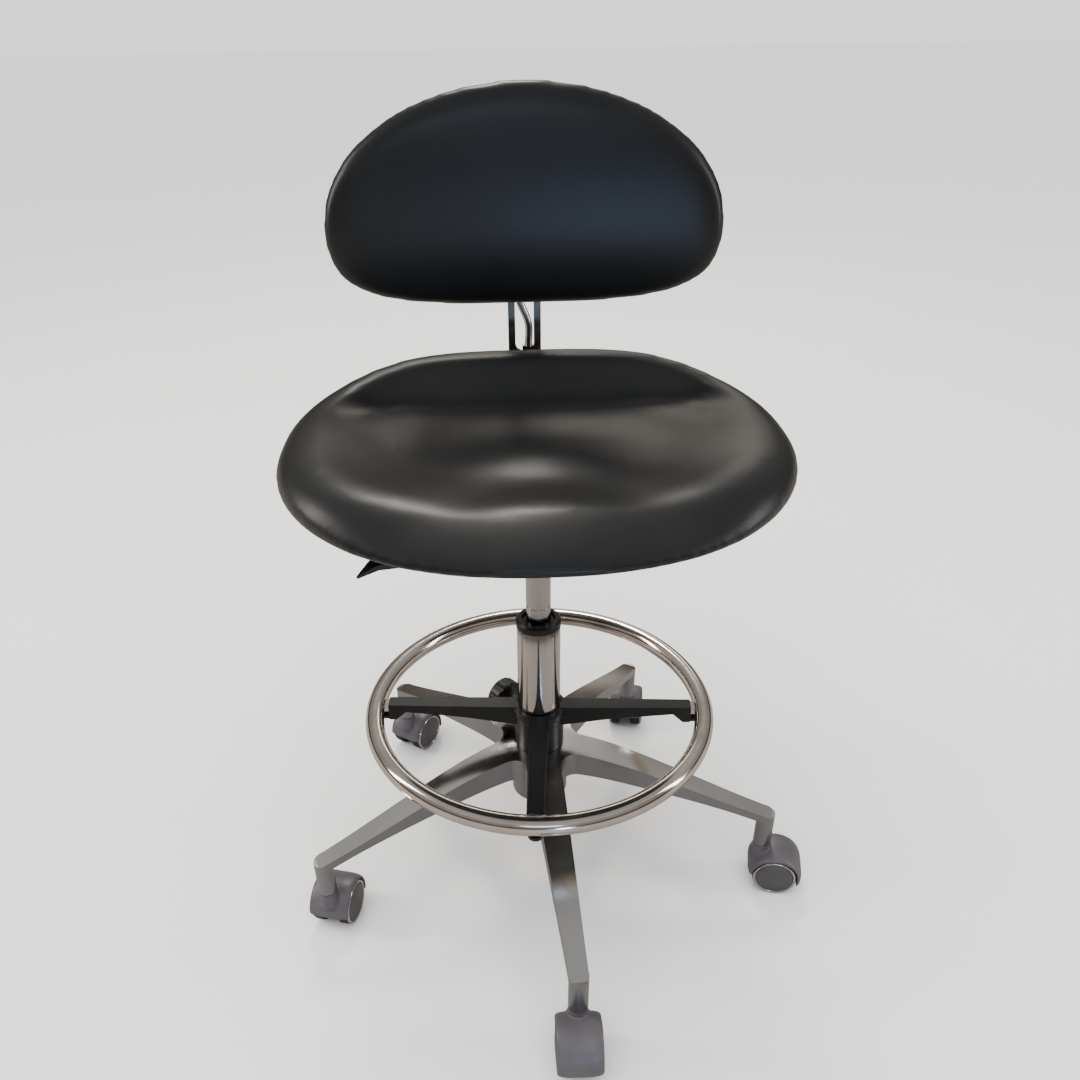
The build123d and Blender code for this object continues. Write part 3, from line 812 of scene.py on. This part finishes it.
def growPiece(name, tree, values):
    # runs a node tree on an empty mesh and keeps the plain result
    mesh = bpy.data.meshes.new(name)
    piece = bpy.data.objects.new(name, mesh)
    bpy.context.scene.collection.objects.link(piece)
    made = piece.modifiers.new("grow", "NODES")
    made.node_group = tree
    for item in tree.interface.items_tree:
        if item.in_out == "INPUT" and item.name in values:
            made[item.identifier] = values[item.name]
    applyModifiers(piece)
    return piece


slotRing = slotTree()


# distances from the axle's middle line, and along it from the castor's middle
wheelShape = {
    "steps": 64, "bore": 0.00305, "radius": 0.0275, "inner": 0.0086, "face": 0.0205, "corner": 0.0032,
    "grooveIn": (0.010, 0.012), "grooveOut": (0.021, 0.0225), "grooveDeep": 0.0025,
    "restRise": 0.0012, "restIn": 0.001, "crownRise": 0.002, "crownTurn": 78,
    "top": 0.0243, "low": 0.0008, "bandOut": 0.0266, "bandIn": 0.0230, "bandRound": 0.0022,
    "bandRise": 0.0012, "bandTurn": 75, "lipIn": 0.0004, "lipTop": 0.0001, "lipSide": 0.0006,
    "capGap": 0.0003, "capRound": 0.0012, "capTurn": 80, "capDrop": 0.0008, "capRise": 0.0001,
    "capDome": 0.0016, "capSteps": 8, "capFlat": 0.002,
    "slots": 9, "slotLong": 0.0030, "slotWide": 0.0011, "slotDeep": 0.0016, "slotDrop": 0.0010,
    "slotOut": 0.0002,
}


def treadProfile():
    g = wheelShape
    bore, inner, corner = g["bore"], g["inner"], g["corner"]
    (hub, hubOut), (rimIn, rim) = g["grooveIn"], g["grooveOut"]
    floor, rest = inner + g["grooveDeep"], g["face"] + g["restRise"]
    tread = [(bore, inner), (hub, inner), (hubOut, floor), (rimIn, floor), (rim, inner)]
    tread += arcPoints((g["radius"] - corner, inner + corner), corner, -90, 0, 5)
    crown = g["face"] - corner + g["crownRise"]
    tread += arcPoints((g["radius"] - corner, crown), corner, 0, g["crownTurn"], 6)
    return tread + [(g["bandOut"] - g["restIn"], rest), (bore, rest), (bore, inner)]


def bandProfile():
    g = wheelShape
    inner, outer, top, low = g["bandIn"], g["bandOut"], g["top"], g["face"] + g["low"]
    rise = low + g["bandRise"]
    band = [(inner, low), (outer, low), (outer, rise)]
    band += arcPoints((outer - g["bandRound"], rise), g["bandRound"], 0, g["bandTurn"], 6)
    return band + [(inner + g["lipIn"], top - g["lipTop"]), (inner, top - g["lipSide"]), (inner, low)]


def capProfile():
    g = wheelShape
    low, edge, side = g["face"] + g["low"], g["bandIn"] - g["capGap"], g["top"] - g["capDrop"]
    disc = [(0, low), (edge, low), (edge, side)]
    disc += arcPoints((edge - g["capRound"], side), g["capRound"], 0, g["capTurn"], 4)
    rise = g["top"] + g["capRise"]
    for i in range(1, g["capSteps"]):
        t = 1 - i / g["capSteps"]
        disc.append(((edge - g["capFlat"]) * t, rise + g["capDome"] * (1 - t * t)))
    return disc + [(0, rise + g["capDome"])]


def buildWheel(number, sideName, side):
    g = wheelShape
    place = wheelPlace(joints[f"castor_{number}_{sideName}_roll"], side)
    label = f"castor{number}{sideName.capitalize()}"
    wheel = lathe(treadProfile(), place, looks["wheelBlack"], g["steps"], label + "Wheel")
    band = lathe(bandProfile(), place, looks["trimChrome"], g["steps"], label + "Band")
    cap = lathe(capProfile(), place, looks["capGrey"], g["steps"], label + "Cap")
    slots = growPiece(label + "Slots", slotRing, {
        "Radius": (g["bandIn"] + g["bandOut"]) / 2 + g["slotOut"], "Count": g["slots"], "Long": g["slotLong"],
        "Wide": g["slotWide"], "Deep": g["slotDeep"], "Height": g["top"] - g["slotDrop"], "Stretch": 1.0,
        "Finish": looks["wheelBlack"]})
    slots.data.transform(place)
    slotNames = {wheel: "grey_plastic", band: "chrome_steel", cap: "grey_plastic", slots: "black_plastic"}
    for piece, slotName in slotNames.items():
        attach(piece, f"wheel_{number}_{sideName}")
    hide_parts(f"castor_{number}_wheel_{sideName}")


for number in range(1, 6):
    buildHood(number)
    buildWheel(number, "left", -1)
    buildWheel(number, "right", 1)
print("stage: castors")


# staples under the seat board

stapleShape = {"count": 42, "inset": 0.93, "long": 0.0100, "wide": 0.0011, "deep": 0.0008}


def buildStaples():
    g = stapleShape
    low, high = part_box("seat_board")
    half = (high - low) / 2
    staples = growPiece("seatStaples", slotRing, {
        "Radius": half.x * g["inset"], "Count": g["count"], "Long": g["long"], "Wide": g["wide"],
        "Deep": g["deep"], "Height": low.z, "Stretch": half.y / half.x, "Finish": looks["steel"]})
    staples.data.transform(Matrix.Translation((low.x + half.x, low.y + half.y, 0)))
    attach(staples, "seat_unit")


buildStaples()
print("stage: staples")


# floor, light and camera

studio = {
    "floorSize": 40.0, "floorGrey": 0.90, "floorGloss": 0.25, "floorDull": 0.62, "floorMottle": 3.0,
    "mottleDull": 0.05, "floorMirrored": (0.30, 0.27, 0.25, 1), "floorWarm": 0.004, "floorStep": 0.01,
    "skyStrength": 0.50, "backStrength": 1.45, "fill": 4.2, "fillSoftness": 70, "fillTilt": (12, -8),
    # the room as the shiny parts mirror it, from straight down to straight up
    "room": [(0.0, (0.30, 0.26, 0.22, 1)), (0.44, (0.36, 0.30, 0.25, 1)), (0.51, (0.075, 0.058, 0.045, 1)),
             (0.58, (0.16, 0.13, 0.105, 1)), (0.64, (0.62, 0.59, 0.55, 1)), (0.74, (0.58, 0.56, 0.53, 1)),
             (0.86, (0.95, 0.94, 0.92, 1)), (1.0, (0.7, 0.7, 0.7, 1))],
    # softboxes: name, place, what they point at, size, watts, colour
    "lamps": [
        ("ceilingSoftbox", (-0.15, 2.1, 3.1), (0, 0, 0.55), (0.7, 0.5), 44, (1.0, 0.94, 0.85)),
        ("backSoftbox", (0.7, 3.2, 1.9), (0, 0, 0.55), (1.6, 0.5), 7, (1.0, 0.90, 0.78)),
        ("windowSoftbox", (0.42, -2.5, 0.30), (0.05, 0.2, 0.74), (0.28, 0.30), 7, (0.36, 0.60, 1.0)),
        ("frontSoftbox", (-0.1, -2.7, 1.9), (0, 0, 0.6), (1.1, 0.5), 6, (0.60, 0.77, 1.0)),
        ("leftSoftbox", (-2.5, 0.2, 1.7), (0, 0, 0.5), (0.35, 1.7), 34, (1.0, 0.94, 0.86)),
        ("rightSoftbox", (2.5, -0.4, 1.3), (0, 0, 0.5), (0.3, 1.7), 18, (0.97, 0.97, 1.0)),
    ],
}


def buildFloor():
    g = studio
    half = g["floorSize"] / 2
    mesh = bpy.data.meshes.new("studioFloor")
    corners = [(-half, -half, 0), (half, -half, 0), (half, half, 0), (-half, half, 0)]
    mesh.from_pydata(corners, [], [(0, 1, 2, 3)])
    floor = bpy.data.objects.new("studioFloor", mesh)
    bpy.context.scene.collection.objects.link(floor)
    finish = Finish("paleFloor", **{"Specular IOR Level": g["floorGloss"]})
    mottle = finish.noise(g["floorMottle"], detail=2.0)
    finish.rough(mottle * g["mottleDull"] + g["floorDull"])
    pale = finish.ramp(mottle, grey(g["floorGrey"] - g["floorStep"], g["floorWarm"]),
                       grey(g["floorGrey"], g["floorWarm"]))
    # mirrored in the chrome, the floor is a darker room floor
    seen = finish.add("ShaderNodeLightPath", {}, {})
    mixed = finish.add("ShaderNodeMix", {"data_type": "RGBA"}, {
        "Factor": seen.outputs["Is Glossy Ray"], 6: pale, 7: g["floorMirrored"]})
    finish.set(finish.shader, {"Base Color": mixed.outputs[2]})
    mesh.materials.append(finish.material)


def addSoftLight(name, place, target, size, power, colour):
    data = bpy.data.lights.new(name, "AREA")
    data.shape = "RECTANGLE"
    data.size, data.size_y = size
    data.energy = power
    data.color = colour
    lamp = bpy.data.objects.new(name, data)
    lamp.location = place
    lamp.rotation_euler = (Vector(target) - Vector(place)).to_track_quat("-Z", "Y").to_euler()
    lamp.visible_camera = False
    bpy.context.scene.collection.objects.link(lamp)


def buildLight():
    world = bpy.data.worlds.new("studioWorld")
    bpy.context.scene.world = world
    world.use_nodes = True
    nodes, links = world.node_tree.nodes, world.node_tree.links
    nodes.clear()
    place = nodes.new("ShaderNodeTexCoord")
    split = nodes.new("ShaderNodeSeparateXYZ")
    ramp = nodes.new("ShaderNodeValToRGB")
    room = nodes.new("ShaderNodeBackground")
    plain = nodes.new("ShaderNodeBackground")
    seen = nodes.new("ShaderNodeLightPath")
    mix = nodes.new("ShaderNodeMixShader")
    out = nodes.new("ShaderNodeOutputWorld")
    scale = nodes.new("ShaderNodeMapRange")
    scale.inputs["From Min"].default_value = -1.0
    stops = studio["room"]
    while len(ramp.color_ramp.elements) < len(stops):
        ramp.color_ramp.elements.new(0.5)
    for element, (position, colour) in zip(ramp.color_ramp.elements, stops):
        element.position = position
        element.color = colour
    links.new(place.outputs["Generated"], split.inputs[0])
    links.new(split.outputs["Z"], scale.inputs["Value"])
    links.new(scale.outputs[0], ramp.inputs[0])
    links.new(ramp.outputs[0], room.inputs["Color"])
    room.inputs["Strength"].default_value = studio["skyStrength"]
    plain.inputs["Color"].default_value = (1, 1, 1, 1)
    plain.inputs["Strength"].default_value = studio["backStrength"]
    links.new(seen.outputs["Is Camera Ray"], mix.inputs[0])
    links.new(room.outputs[0], mix.inputs[1])
    links.new(plain.outputs[0], mix.inputs[2])
    links.new(mix.outputs[0], out.inputs["Surface"])
    for lamp in studio["lamps"]:
        addSoftLight(*lamp)
    data = bpy.data.lights.new("fillSun", "SUN")
    data.energy = studio["fill"]
    data.angle = math.radians(studio["fillSoftness"])
    sun = bpy.data.objects.new("fillSun", data)
    sun.rotation_euler = [math.radians(angle) for angle in studio["fillTilt"]] + [0]
    sun.visible_glossy = False
    bpy.context.scene.collection.objects.link(sun)


# metres, radians (around: degrees), millimetres for the lens
cameraSetting = {
    "away": 0.8946, "height": 0.9694, "around": -3.0, "pitch": 0.584, "yaw": -0.010, "roll": -0.013,
    "lens": 31.67, "sensor": 36, "shiftX": 0.0088, "shiftY": 0.0694, "nearest": 0.05,
}


def buildCamera():
    g = cameraSetting
    turn = Matrix.Rotation(math.radians(g["around"]), 3, "Z")
    level, drop = math.cos(g["pitch"]), math.sin(g["pitch"])
    ahead = turn @ Vector((math.sin(g["yaw"]) * level, math.cos(g["yaw"]) * level, -drop))
    right = turn @ Vector((math.cos(g["yaw"]), -math.sin(g["yaw"]), 0))
    up = right.cross(ahead)
    c, s = math.cos(g["roll"]), math.sin(g["roll"])
    right, up = right * c + up * s, up * c - right * s
    data = bpy.data.cameras.new("camera")
    data.sensor_width = g["sensor"]
    data.lens = g["lens"]
    data.shift_x = g["shiftX"]
    data.shift_y = g["shiftY"]
    data.clip_start = g["nearest"]
    camera = bpy.data.objects.new("camera", data)
    turned = Matrix((right, up, -ahead)).transposed().to_4x4()
    camera.matrix_world = Matrix.Translation(turn @ Vector((0, -g["away"], g["height"]))) @ turned
    bpy.context.scene.collection.objects.link(camera)
    bpy.context.scene.camera = camera


buildFloor()
buildLight()
buildCamera()
print("stage: floor, light and camera")
